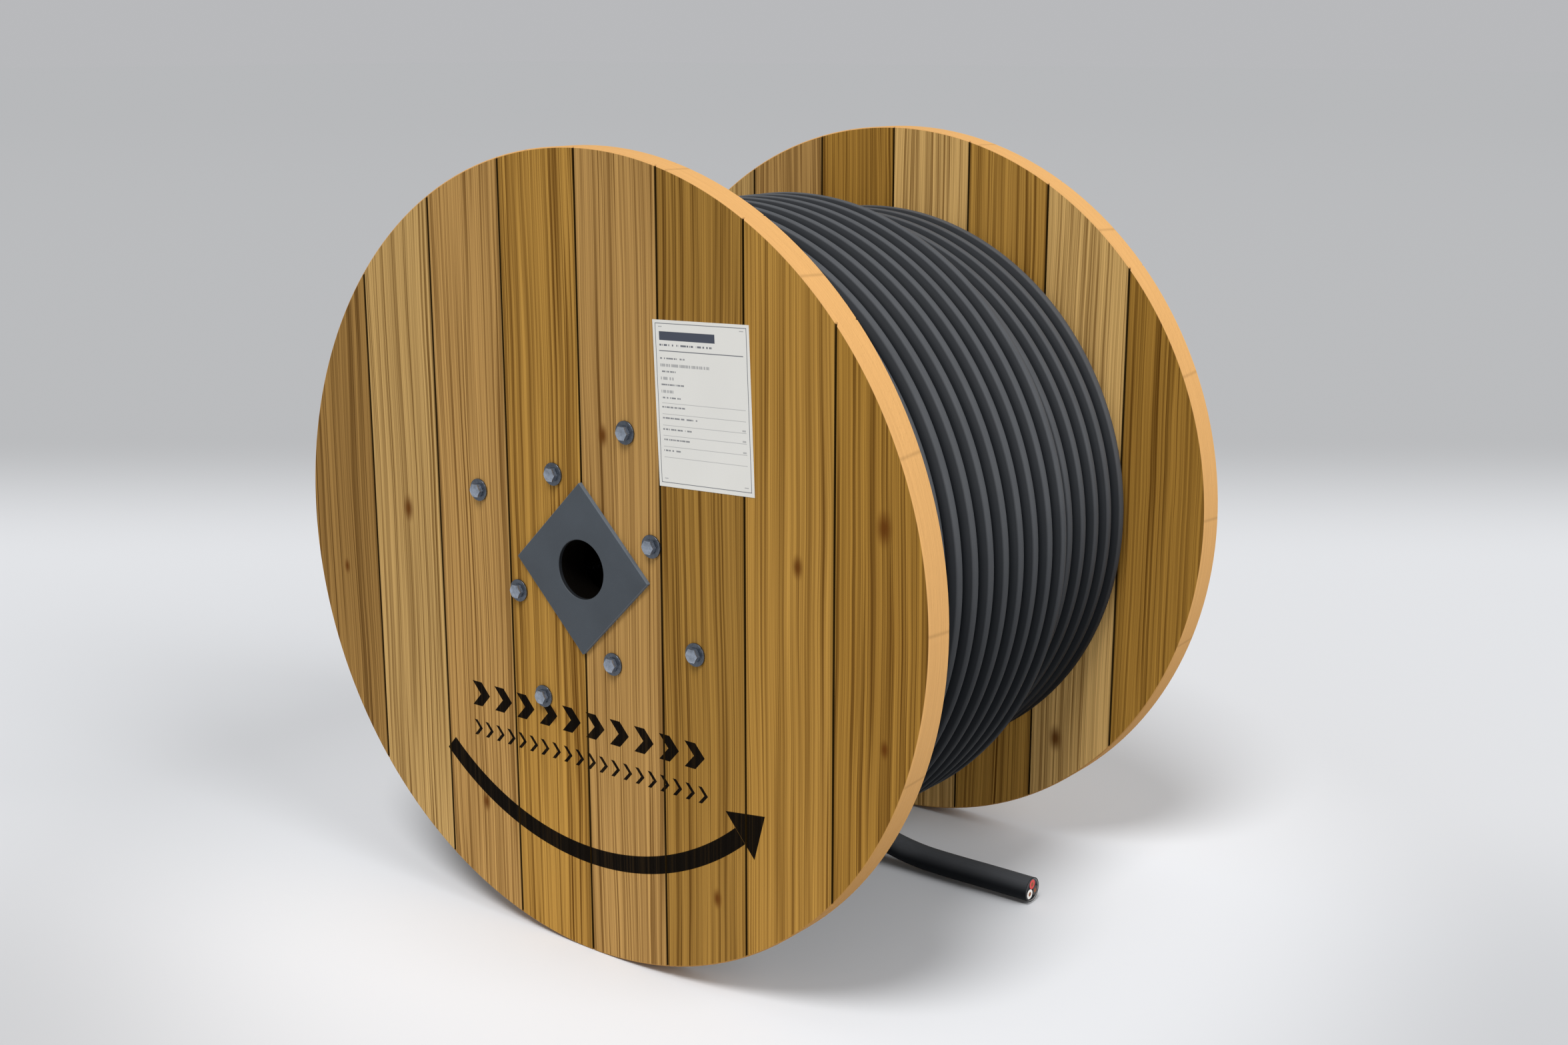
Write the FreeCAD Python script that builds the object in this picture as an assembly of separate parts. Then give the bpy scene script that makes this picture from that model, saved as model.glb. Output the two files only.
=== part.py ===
import FreeCAD, Part
import math
import os

# Timber cable drum, wound with heavy rubber-sheathed power cable.
#
# Two round flanges of upright boards stand on a level floor, with a hollow
# barrel between them. Eight through bolts clamp flanges and barrel together,
# and a steel plate on each flange guards the bore for the lifting bar.
# The cable fills five full layers and most of a sixth, and its free end comes
# off the bottom of the winding and lies on the floor.
#
# Frame, in millimetres: +Z up from the floor, the drum's axle along Y, and
# the labelled front flange faces -Y. The origin is on the floor below the
# middle of the drum. Angles about the axle run from +X towards +Z.

# ---- driving dimensions -----------------------------------------------------

# timber
flange_dia = 1200.0
flange_thickness = 46.0
inner_width = 723.0
boards_per_flange = 8
board_groove_half_width = 1.8
board_groove_depth = 5.0
rim_ease = 1.5
barrel_dia = 585.0
barrel_wall = 28.0

# bore and its guard plates
bore_dia = 88.0
plate_side = 182.0
plate_thickness = 6.0

# through bolts, on two circles that take turns: the outer one lies just inside the barrel
bolt_count = 8
bolt_inner_circle_dia = 288.0
bolt_inside_barrel = 35.5
bolt_first_angle = 22.5
bolt_dia = 12.0
bolt_hole_clearance = 1.0
hex_across_flats = 19.0
bolt_head_height = 8.0
nut_height = 10.0
thread_past_nut = 2.0
thread_clearance = 0.1
washer_dia = 34.0
washer_thickness = 3.0

# wound cable
cable_dia = 40.0
turn_gap = 0.4
winding_end_gap = 3.0
full_layers = 5
top_layer_turns = 12
groove_floor = 6.0
exit_angle = 250.0
exit_sector = 30.0

# cable's free end: its route is chosen by hand, from the winding to the cut end.
# the cable is stiff, so its last stretch springs a little clear of the floor
tail_floor_gap = 4.0
tail_height = cable_dia / 2 + tail_floor_gap
tail_route = [
    (-166.7, 114.3, 141.9),
    (-91.5, 114.3, 114.5),
    (-10.0, 118.0, 86.5),
    (68.0, 125.5, 62.5),
    (142.0, 134.0, 42.0),
    (216.0, 140.0, tail_height),
    (290.0, 138.6, tail_height),
    (365.0, 141.5, tail_height),
    (439.4, 141.9, tail_height),
]
tail_arc_share = 0.45

# insulated cores at the cut end
core_dia = 15.6
core_circle_dia = 18.6
conductor_dia = 7.4
core_depth = 25.0
core_proud = 0.6
core_angles = {"red": 95.0, "white": 215.0, "black": 335.0}

# paper label
label_width = 168.0
label_height = 230.0
label_thickness = 0.5
label_centre_x = 229.7
label_above_axle = 263.2
label_turn = 2.3

# ---- places that follow from them ---------------------------------------------

Vector = FreeCAD.Vector
AXLE_DIRECTION = Vector(0, 1, 0)

flange_radius = flange_dia / 2
axle_height = flange_radius
head_side_proud = washer_thickness + bolt_head_height
nut_side_proud = washer_thickness + nut_height + thread_past_nut
timber_depth = inner_width + 2 * flange_thickness
whole_depth = timber_depth + head_side_proud + nut_side_proud
front_face = -whole_depth / 2 + head_side_proud
front_inner = front_face + flange_thickness
back_inner = front_inner + inner_width
back_face = back_inner + flange_thickness

bolt_hole_dia = bolt_dia + bolt_hole_clearance
bolt_outer_circle_dia = barrel_dia - 2 * barrel_wall - 2 * bolt_inside_barrel

cable_radius = cable_dia / 2
turn_pitch = cable_dia + turn_gap
layer_rise = turn_pitch * math.sqrt(3) / 2
turns_per_layer = int((inner_width - 2 * winding_end_gap - turn_pitch / 2) / turn_pitch)


def on_axle(shape):
    """Lift a shape that was made about the Y axis up to the axle's height."""
    return shape.translated(Vector(0, 0, axle_height))


def axle_cylinder(radius, start, end):
    """Cylinder about the axle, from one depth to another."""
    return Part.makeCylinder(radius, end - start, Vector(0, start, axle_height), AXLE_DIRECTION)


def save(name, shape):
    """Write one named piece, and say its volume in litres."""
    shape.exportStep("parts/" + name + ".step")
    print(f"{name:18s} solids {len(shape.Solids)}  litres {shape.Volume / 1e6:9.4f}  valid {shape.isValid()}")


# ---- timber -------------------------------------------------------------------


def bolt_places():
    """Centre of each bolt across the flange, as (x, z) pairs."""
    places = []
    for index in range(bolt_count):
        angle = math.radians(bolt_first_angle + index * 360.0 / bolt_count)
        radius = (bolt_outer_circle_dia if index % 2 else bolt_inner_circle_dia) / 2
        places.append((radius * math.cos(angle), axle_height + radius * math.sin(angle)))
    return places


def rod(place, radius, start, end):
    """Cylinder along Y, centred on a bolt's place."""
    return Part.makeCylinder(radius, end - start, Vector(place[0], start, place[1]), AXLE_DIRECTION)


def flange_disc(start, end):
    """Round flange blank with its two arrises eased."""
    outline = [
        Vector(0, start, 0),
        Vector(flange_radius - rim_ease, start, 0),
        Vector(flange_radius, start + rim_ease, 0),
        Vector(flange_radius, end - rim_ease, 0),
        Vector(flange_radius - rim_ease, end, 0),
        Vector(0, end, 0),
        Vector(0, start, 0),
    ]
    section = Part.Face(Part.makePolygon(outline))
    return on_axle(section.revolve(Vector(0, 0, 0), AXLE_DIRECTION, 360))


def seam_groove(seam, face, inward):
    """V-shaped groove that runs the height of the flange, between two boards."""
    outline = [
        Vector(seam - board_groove_half_width, face, 0),
        Vector(seam + board_groove_half_width, face, 0),
        Vector(seam, face + inward * board_groove_depth, 0),
        Vector(seam - board_groove_half_width, face, 0),
    ]
    return Part.Face(Part.makePolygon(outline)).extrude(Vector(0, 0, flange_dia))


def make_flange(name, start, end):
    """Cut one flange's boards from its disc, with their holes and grooves."""
    board_width = flange_dia / boards_per_flange
    seams = [-flange_radius + index * board_width for index in range(1, boards_per_flange)]
    cuts = [axle_cylinder(bore_dia / 2, start, end)]
    cuts += [rod(place, bolt_hole_dia / 2, start, end) for place in bolt_places()]
    cuts += [seam_groove(seam, start, 1) for seam in seams]
    cuts += [seam_groove(seam, end, -1) for seam in seams]
    flange = flange_disc(start, end).cut(cuts)
    for index in range(boards_per_flange):
        left = -flange_radius + index * board_width
        strip = Part.makeBox(board_width, end - start, flange_dia, Vector(left, start, 0))
        save(f"{name}_board_{index + 1}", flange.common(strip))


def make_barrel():
    """Hollow barrel that the cable is wound on, butted against both flanges."""
    barrel = axle_cylinder(barrel_dia / 2, front_inner, back_inner)
    hollow = axle_cylinder(barrel_dia / 2 - barrel_wall, front_inner, back_inner)
    save("barrel", barrel.cut(hollow))


# ---- steel --------------------------------------------------------------------


def make_plate(name, start):
    """Square guard plate set on its corner, with the bore through it."""
    corner = -plate_side / 2
    plate = Part.makeBox(plate_side, plate_thickness, plate_side, Vector(corner, start, corner))
    plate.rotate(Vector(0, 0, 0), AXLE_DIRECTION, 45)
    save(name, on_axle(plate).cut(axle_cylinder(bore_dia / 2, start, start + plate_thickness)))


def hexagon(place, start, height):
    """Hexagonal prism along Y with flats at its top and bottom."""
    corner_radius = hex_across_flats / math.sqrt(3)
    points = []
    for index in range(7):
        angle = math.radians(60 * index)
        offset = (corner_radius * math.cos(angle), corner_radius * math.sin(angle))
        points.append(Vector(place[0] + offset[0], start, place[1] + offset[1]))
    return Part.Face(Part.makePolygon(points)).extrude(Vector(0, height, 0))


def make_washer(name, place, start):
    """Flat round washer."""
    washer = rod(place, washer_dia / 2, start, start + washer_thickness)
    hole = rod(place, bolt_hole_dia / 2, start, start + washer_thickness)
    save(name, washer.cut(hole))


def make_bolts():
    """Through bolts with a washer at each end, and a nut at the back."""
    head_start = front_face - head_side_proud
    head_seat = front_face - washer_thickness
    nut_seat = back_face + washer_thickness
    thread_end = nut_seat + nut_height + thread_past_nut
    for index, place in enumerate(bolt_places(), start=1):
        head = hexagon(place, head_start, bolt_head_height)
        shank = rod(place, bolt_dia / 2, head_seat, thread_end)
        save(f"bolt_{index}", head.fuse(shank).removeSplitter())
        make_washer(f"front_washer_{index}", place, head_seat)
        make_washer(f"back_washer_{index}", place, back_face)
        thread_hole = rod(place, bolt_dia / 2 + thread_clearance, nut_seat, nut_seat + nut_height)
        save(f"nut_{index}", hexagon(place, nut_seat, nut_height).cut(thread_hole))


# ---- wound cable ----------------------------------------------------------------


def layer_radius(layer):
    """Radius of a layer's turns at their centres, counted up from the barrel."""
    return barrel_dia / 2 + cable_radius + layer * layer_rise


def turn_depth(layer, turn):
    """Depth of a turn's centre, counted from the back. Odd layers nest half a turn nearer."""
    nesting = turn_pitch / 2 if layer % 2 else 0.0
    return back_inner - winding_end_gap - cable_radius - nesting - turn * turn_pitch


def outer_turns(top_turns):
    """Centres of the turns that show, from the front end over the top to the back end."""
    last = turns_per_layer - 1
    step = turns_per_layer - top_turns
    front = [(turn_depth(layer, last), layer_radius(layer)) for layer in range(full_layers)]
    top = [(turn_depth(full_layers, turn), layer_radius(full_layers)) for turn in range(last, step - 1, -1)]
    below = full_layers - 1
    open_row = [(turn_depth(below, turn), layer_radius(below)) for turn in range(step, -1, -1)]
    back = [(turn_depth(layer, 0), layer_radius(layer)) for layer in range(below - 1, -1, -1)]
    return front + top + open_row + back


def winding_section(top_turns):
    """Half section of the winding: round turns with narrow lands between them."""
    centres = [Vector(radius, depth, 0) for depth, radius in outer_turns(top_turns)]
    reach = math.sqrt(cable_radius**2 - groove_floor**2)
    steps = [(after - before).normalize() for before, after in zip(centres, centres[1:])]
    outward = [Vector(step.y, -step.x, 0) for step in steps]
    towards_axle = Vector(-1, 0, 0)
    edges = []
    land_start = None
    for index, centre in enumerate(centres):
        if index == 0:
            arc_start = centre + towards_axle * cable_radius
            middle = Vector(0, -1, 0)
            first_point = arc_start
        else:
            arc_start = centre + outward[index - 1] * groove_floor - steps[index - 1] * reach
            edges.append(Part.LineSegment(land_start, arc_start).toShape())
        if index == len(centres) - 1:
            arc_end = centre + towards_axle * cable_radius
            middle = Vector(0, 1, 0)
        else:
            arc_end = centre + outward[index] * groove_floor + steps[index] * reach
        if 0 < index < len(centres) - 1:
            middle = (outward[index - 1] + outward[index]).normalize()
        edges.append(Part.Arc(arc_start, centre + middle * cable_radius, arc_end).toShape())
        land_start = arc_end
    edges.append(Part.LineSegment(land_start, first_point).toShape())
    return Part.Face(Part.Wire(edges))


def swept_section(section, start_angle, sweep):
    """Turn a half section about the axle, from one angle on towards +Z."""
    turned = section.rotated(Vector(0, 0, 0), AXLE_DIRECTION, -start_angle)
    return on_axle(turned.revolve(Vector(0, 0, 0), -AXLE_DIRECTION, sweep))


def make_winding():
    """Turned winding. Its last turn stops at the exit, to leave the free end room."""
    wound = swept_section(winding_section(top_layer_turns), exit_angle + exit_sector, 360 - exit_sector)
    open_part = swept_section(winding_section(top_layer_turns - 1), exit_angle, exit_sector)
    save("cable_winding", wound.fuse(open_part))


# ---- cable's free end -------------------------------------------------------------


def tail_path(points):
    """Straight runs joined by tangent arcs, each as large as its two runs allow."""
    edges = []
    start = points[0]
    for before, corner, after in zip(points, points[1:], points[2:]):
        run_in = corner - before
        run_out = after - corner
        half_turn = run_in.getAngle(run_out) / 2
        tangent = tail_arc_share * min(run_in.Length, run_out.Length)
        radius = tangent / math.tan(half_turn)
        into = run_in.normalize()
        out_of = run_out.normalize()
        arc_start = corner - into * tangent
        arc_end = corner + out_of * tangent
        inward = (out_of - into).normalize()
        arc_middle = corner + inward * radius * (1 / math.cos(half_turn) - 1)
        edges.append(Part.LineSegment(start, arc_start).toShape())
        edges.append(Part.Arc(arc_start, arc_middle, arc_end).toShape())
        print(f"tail bend radius {radius:7.0f} mm")
        start = arc_end
    edges.append(Part.LineSegment(start, points[-1]).toShape())
    return Part.Wire(edges)


def make_tail():
    """Free end of the cable, with its three cores let into the cut face."""
    points = [Vector(*point) for point in tail_route]
    path = tail_path(points)
    first_run = points[1] - points[0]
    section = Part.Wire(Part.makeCircle(cable_radius, points[0], first_run))
    sheath = path.makePipeShell([section], True, False)
    expected = math.pi * cable_radius**2 * path.Length
    print(f"tail length {path.Length:.1f} mm, volume ratio {sheath.Volume / expected:.5f}")

    end = points[-1]
    along = (end - points[-2]).normalize()
    across = Vector(0, 0, 1).cross(along)
    conductors = []
    for colour, angle in core_angles.items():
        turn = math.radians(angle)
        offset = across * math.cos(turn) + Vector(0, 0, 1) * math.sin(turn)
        seat = end + offset * (core_circle_dia / 2) - along * core_depth
        length = core_depth + core_proud
        pocket = Part.makeCylinder(core_dia / 2, length, seat, along)
        conductor = Part.makeCylinder(conductor_dia / 2, length, seat, along)
        sheath = sheath.cut(pocket)
        save("core_" + colour, pocket.cut(conductor))
        conductors.append(conductor)
    save("core_conductors", Part.makeCompound(conductors))
    save("cable_tail", sheath)


# ---- label --------------------------------------------------------------------------


def make_label():
    """Paper label pasted on the front flange, a little out of true."""
    corner = Vector(-label_width / 2, front_face - label_thickness, -label_height / 2)
    label = Part.makeBox(label_width, label_thickness, label_height, corner)
    label.rotate(Vector(0, 0, 0), AXLE_DIRECTION, -label_turn)
    label.translate(Vector(label_centre_x, 0, axle_height + label_above_axle))
    save("label", label)


os.makedirs("parts", exist_ok=True)
make_flange("front", front_face, front_inner)
make_flange("back", back_inner, back_face)
make_barrel()
make_plate("front_plate", front_face - plate_thickness)
make_plate("back_plate", back_face)
make_bolts()
make_winding()
make_tail()
make_label()
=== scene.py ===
import functools
import math

import bpy
import numpy as np
from bpy.props import FloatProperty, FloatVectorProperty, IntProperty, PointerProperty
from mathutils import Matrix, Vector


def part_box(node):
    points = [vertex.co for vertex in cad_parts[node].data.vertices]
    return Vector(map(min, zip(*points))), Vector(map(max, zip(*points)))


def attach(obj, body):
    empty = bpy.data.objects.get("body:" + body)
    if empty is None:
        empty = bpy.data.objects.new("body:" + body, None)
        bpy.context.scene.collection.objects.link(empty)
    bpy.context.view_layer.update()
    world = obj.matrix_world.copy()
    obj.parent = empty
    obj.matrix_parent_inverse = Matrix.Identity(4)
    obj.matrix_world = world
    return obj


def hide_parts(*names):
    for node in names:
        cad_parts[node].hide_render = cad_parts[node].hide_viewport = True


# Looks for a timber cable drum, wound with heavy rubber-sheathed power cable.
#
# The drum's axle lies along Y at the height of the flanges' radius, and the
# labelled flange faces -Y. Lengths are metres, and angles about the axle run
# from +X towards +Z. Each operator makes one piece or one group of like
# pieces; the panel in the 3D view's sidebar lists them in their order.

bl_info = {
    "name": "Timber Cable Drum",
    "version": (1, 0, 0),
    "blender": (4, 5, 0),
    "location": "View3D > Sidebar > Cable Drum",
    "description": "Builds the finishes, the wound cable and the fittings of a timber cable drum",
    "category": "Object",
}

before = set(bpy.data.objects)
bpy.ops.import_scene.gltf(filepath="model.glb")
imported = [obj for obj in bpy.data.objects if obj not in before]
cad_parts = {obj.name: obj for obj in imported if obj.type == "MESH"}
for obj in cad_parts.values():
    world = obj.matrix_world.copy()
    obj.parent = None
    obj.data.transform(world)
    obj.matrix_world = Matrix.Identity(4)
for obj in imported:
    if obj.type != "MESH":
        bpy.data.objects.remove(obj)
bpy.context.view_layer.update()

# ---- places read from the frame ----

FRONT_LOW, FRONT_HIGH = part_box("front_board_1")
BACK_LOW, BACK_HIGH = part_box("back_board_8")
BARREL_LOW, BARREL_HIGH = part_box("barrel")
PLATE_LOW, PLATE_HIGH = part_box("front_plate")

FRONT_FACE = FRONT_LOW.y
FRONT_INNER = FRONT_HIGH.y
BACK_INNER = BACK_LOW.y
BACK_FACE = BACK_HIGH.y
FLANGE_RADIUS = BACK_HIGH.x
AXLE_HEIGHT = FLANGE_RADIUS
BARREL_RADIUS = (BARREL_HIGH.x - BARREL_LOW.x) / 2
BOARD_COUNT = sum(name.startswith("front_board_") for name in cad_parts)
BOARD_WIDTH = 2 * FLANGE_RADIUS / BOARD_COUNT
BOLT_COUNT = sum(name.startswith("bolt_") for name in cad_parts)

MM = 0.001
BORE_RADIUS = 44.0 * MM


# ---- settings ----


def colour_property(label, description, default):
    """Colour that a user can change, as linear red, green and blue."""
    return FloatVectorProperty(
        name=label, description=description, default=default, subtype="COLOR", min=0.0, max=1.0
    )


def length_property(label, description, default):
    """Length that a user can change, in metres."""
    return FloatProperty(name=label, description=description, default=default, unit="LENGTH", min=0.0)


def strength_property(label, description, default):
    """Strength of a light that a user can change."""
    return FloatProperty(name=label, description=description, default=default, min=0.0)


class TimberSettings(bpy.types.PropertyGroup):
    """Tones and grain of the boards."""

    brown: colour_property("Brown", "Tone of the brown boards", (0.244, 0.132, 0.037))
    olive: colour_property("Olive", "Tone of the olive boards", (0.360, 0.220, 0.078))
    pink: colour_property("Pink", "Tone of the pinkish boards", (0.334, 0.187, 0.059))
    gold: colour_property("Gold", "Tone of the golden boards", (0.304, 0.160, 0.033))
    deep: colour_property("Deep gold", "Tone of the deep golden boards", (0.232, 0.118, 0.021))
    rim: colour_property("Rim", "Tone of the sawn rim", (0.606, 0.335, 0.122))
    knot: colour_property("Knot", "Tone of the knots", (0.120, 0.037, 0.004))
    seam: colour_property("Seam", "Tone inside the grooves between boards", (0.020, 0.011, 0.002))
    stencil: colour_property("Stencil", "Colour of the stencilled paint", (0.0018, 0.0009, 0.0002))
    band_width: length_property("Band width", "Width of the wide bands of grain", 0.012)
    line_spacing: length_property("Line spacing", "Spacing of the dark lines of grain", 0.0042)
    fibre_spacing: length_property("Fibre spacing", "Spacing of the fine lines of grain", 0.0020)


class CableSettings(bpy.types.PropertyGroup):
    """Size and look of the wound cable."""

    diameter: length_property("Diameter", "Diameter of the cable's sheath", 0.040)
    pitch: length_property("Pitch", "Distance along the axle from one turn to the next", 0.04038)
    layer_rise: length_property("Layer rise", "Distance from one layer up to the next", 0.034987)
    exit_depth: length_property("Exit depth", "Depth at which the free end leaves the winding", 0.1143)
    steps: IntProperty(name="Steps", description="Steps round each turn", default=192, min=48)
    sides: IntProperty(name="Sides", description="Sides of the cable's round section", default=24, min=12)
    sheath: colour_property("Sheath", "Colour of the rubber sheath", (0.0035, 0.0045, 0.0060))
    # painted highlight colour: the lit grey on the turns' crests and far flanks and along the free end's
    # upper side
    highlit: colour_property("Rubbed sheath", "Colour of the sheath where rubbed grey", (0.082, 0.086, 0.093))
    red: colour_property("Red core", "Colour of the red core's insulation", (0.62, 0.035, 0.030))
    white: colour_property("White core", "Colour of the white core's insulation", (0.82, 0.79, 0.74))
    black: colour_property("Black core", "Colour of the black core's insulation", (0.030, 0.022, 0.020))
    copper: colour_property("Copper", "Colour of the copper strands", (0.42, 0.13, 0.035))


class SteelSettings(bpy.types.PropertyGroup):
    """Size and look of the plates, bolts, nuts and washers."""

    plate: colour_property("Plate", "Colour of the plates' paint", (0.062, 0.073, 0.086))
    zinc: colour_property("Zinc", "Colour of the zinc on bolts, nuts and washers", (0.20, 0.225, 0.265))
    plate_bevel: length_property("Plate bevel", "Bevel round the plates", 0.0009)
    thread_pitch: length_property("Thread pitch", "Pitch of the bolts' thread", 0.00175)


class LabelSettings(bpy.types.PropertyGroup):
    """Look of the paper label."""

    paper: colour_property("Paper", "Colour of the paper", (0.745, 0.735, 0.695))
    ink: colour_property("Ink", "Colour of the printed bars and rules", (0.035, 0.045, 0.075))
    turn: FloatProperty(
        name="Turn", description="How far the label is out of true",
        default=math.radians(2.3), subtype="ANGLE",
    )


class StageSettings(bpy.types.PropertyGroup):
    """Floor, lamps and world."""

    floor: colour_property("Floor", "Colour of the floor round the drum", (0.600, 0.610, 0.630))
    distance: colour_property("Distance", "Colour of the floor far behind the drum", (0.385, 0.390, 0.400))
    backdrop: colour_property("Backdrop", "Colour seen past the floor", (0.482, 0.486, 0.500))
    world_strength: strength_property("World", "Strength of the even light", 0.56)
    side_lamp: strength_property("Side lamp", "Strength of the side lamp", 1.50)
    top_lamp: strength_property("Top lamp", "Strength of the top lamp", 2.08)


SETTINGS = {
    "drum_timber": TimberSettings,
    "drum_cable": CableSettings,
    "drum_steel": SteelSettings,
    "drum_label": LabelSettings,
    "drum_stage": StageSettings,
}

# ---- shader expressions ----

SHADER_SOCKETS = {
    "colour": "Base Color",
    "roughness": "Roughness",
    "metallic": "Metallic",
    "specular": "Specular IOR Level",
    "normal": "Normal",
}


def math_method(operation, swapped=False):
    """Method that adds a Math node for its own value and the others it is given."""

    def method(self, *others):
        values = (*others, self) if swapped else (self, *others)
        return self.finish.node("ShaderNodeMath", {"operation": operation}, dict(enumerate(values)))

    return method


class Value:
    """A socket that adds Math nodes to its material when it is used in an expression."""

    def __init__(self, finish, socket):
        self.finish = finish
        self.socket = socket

    __add__ = math_method("ADD")
    __radd__ = math_method("ADD", swapped=True)
    __sub__ = math_method("SUBTRACT")
    __rsub__ = math_method("SUBTRACT", swapped=True)
    __mul__ = math_method("MULTIPLY")
    __rmul__ = math_method("MULTIPLY", swapped=True)
    __truediv__ = math_method("DIVIDE")
    __rtruediv__ = math_method("DIVIDE", swapped=True)
    __abs__ = math_method("ABSOLUTE")
    maximum = math_method("MAXIMUM")
    root = math_method("SQRT")
    fraction = math_method("FRACT")
    # angle of the point (other, self), in radians from -pi to pi
    angle_from = math_method("ARCTAN2")

    def rise(self, low, high):
        """0 below low, 1 above high, and a smooth rise between them."""
        return self.finish.node(
            "ShaderNodeMapRange", {"interpolation_type": "SMOOTHSTEP"}, {0: self, 1: low, 2: high}
        )

    def below(self, edge, soft):
        """1 below edge and 0 above it, with a soft step of that width."""
        return 1 - self.rise(edge - soft / 2, edge + soft / 2)


def largest(values):
    """Largest of several values."""
    return functools.reduce(Value.maximum, values)


def from_middle(across, up):
    """Distance from the middle: the root of the sum of the two squares."""
    return (across * across + up * up).root()


class Finish:
    """One procedural material, with a Principled shader at its end."""

    def __init__(self, name, **constants):
        self.material = bpy.data.materials.new(name)
        self.material.use_nodes = True
        self.tree = self.material.node_tree
        self.tree.nodes.clear()
        self.shader = self.tree.nodes.new("ShaderNodeBsdfPrincipled")
        output = self.tree.nodes.new("ShaderNodeOutputMaterial")
        self.tree.links.new(self.shader.outputs[0], output.inputs["Surface"])
        for socket, value in constants.items():
            self.shader.inputs[SHADER_SOCKETS[socket]].default_value = value

    def node(self, kind, settings, inputs, output=0):
        """Add a node: its settings first, then the values or links of its sockets."""
        made = self.tree.nodes.new(kind)
        for name, value in settings.items():
            setattr(made, name, value)
        for name, value in inputs.items():
            if isinstance(value, Value):
                self.tree.links.new(value.socket, made.inputs[name])
            else:
                made.inputs[name].default_value = value
        return Value(self, made.outputs[output])

    def parts(self, coordinates="Object", moved=(0.0, 0.0, 0.0)):
        """The three parts of the Object coordinates, moved, or of the piece's own UV map."""
        vector = self.node("ShaderNodeTexCoord", {}, {}, coordinates)
        if any(moved):
            vector = self.node("ShaderNodeMapping", {}, {"Vector": vector, "Location": moved})
        made = self.node("ShaderNodeSeparateXYZ", {}, {0: vector}).socket.node
        return [Value(self, socket) for socket in made.outputs]

    def join(self, x, y, z):
        """A vector from three numbers."""
        return self.node("ShaderNodeCombineXYZ", {}, {0: x, 1: y, 2: z})

    def noise(self, vector, detail=2.0, rough=0.5, spread=0.18):
        """Noise about one unit wide, stretched so that it fills 0 to 1."""
        inputs = {"Vector": vector, "Scale": 1.0, "Detail": detail, "Roughness": rough}
        raw = self.node("ShaderNodeTexNoise", {}, inputs)
        return self.node("ShaderNodeMapRange", {}, {0: raw, 1: 0.5 - spread, 2: 0.5 + spread})

    def cloud(self, parts, scale, detail=2.0, rough=0.5):
        """Noise alike in every direction, with that many lumps to the metre."""
        return self.noise(self.join(*(part * scale for part in parts)), detail, rough)

    def mix(self, factor, low, high):
        """Colour that goes from low to high with the factor."""
        inputs = {"Factor": factor, 6: opaque(low), 7: opaque(high)}
        return self.node("ShaderNodeMix", {"data_type": "RGBA", "clamp_factor": True}, inputs, 2)

    def tones(self, factor, colour, low, high):
        """Shades of one colour, from low to high times as light."""
        return self.mix(factor, scaled(colour, low), scaled(colour, high))

    def feed(self, **inputs):
        """Link varying values to the shader's sockets."""
        for name, value in inputs.items():
            self.tree.links.new(value.socket, self.shader.inputs[SHADER_SOCKETS[name]])

    def bump(self, height, distance, strength=1.0):
        """Fine relief, where height 1 stands that distance above height 0."""
        relief = {"Height": height, "Distance": distance, "Strength": strength}
        self.feed(normal=self.node("ShaderNodeBump", {}, relief))


def opaque(colour):
    """Colour with its fourth number, or a link as it is."""
    return colour if isinstance(colour, Value) else (*colour[:3], 1.0)


def scaled(colour, amount):
    """Constant colour made lighter or darker by one amount, or by one for each of its parts."""
    amounts = amount if isinstance(amount, tuple) else (amount,) * 3
    return tuple(min(1.0, part * gain) for part, gain in zip(colour, amounts))


# ---- mesh making ----


def signed_volume(vertices, faces):
    """Volume inside closed four-cornered faces: each splits into two triangles, and a triangle
    adds a sixth of its corners' triple product."""
    total = 0.0
    for second, third in ((1, 2), (2, 3)):
        corners = vertices[faces[:, 0]], vertices[faces[:, second]], vertices[faces[:, third]]
        total += np.einsum("ij,ij->", corners[0], np.cross(corners[1], corners[2])) / 6
    return total


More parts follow.
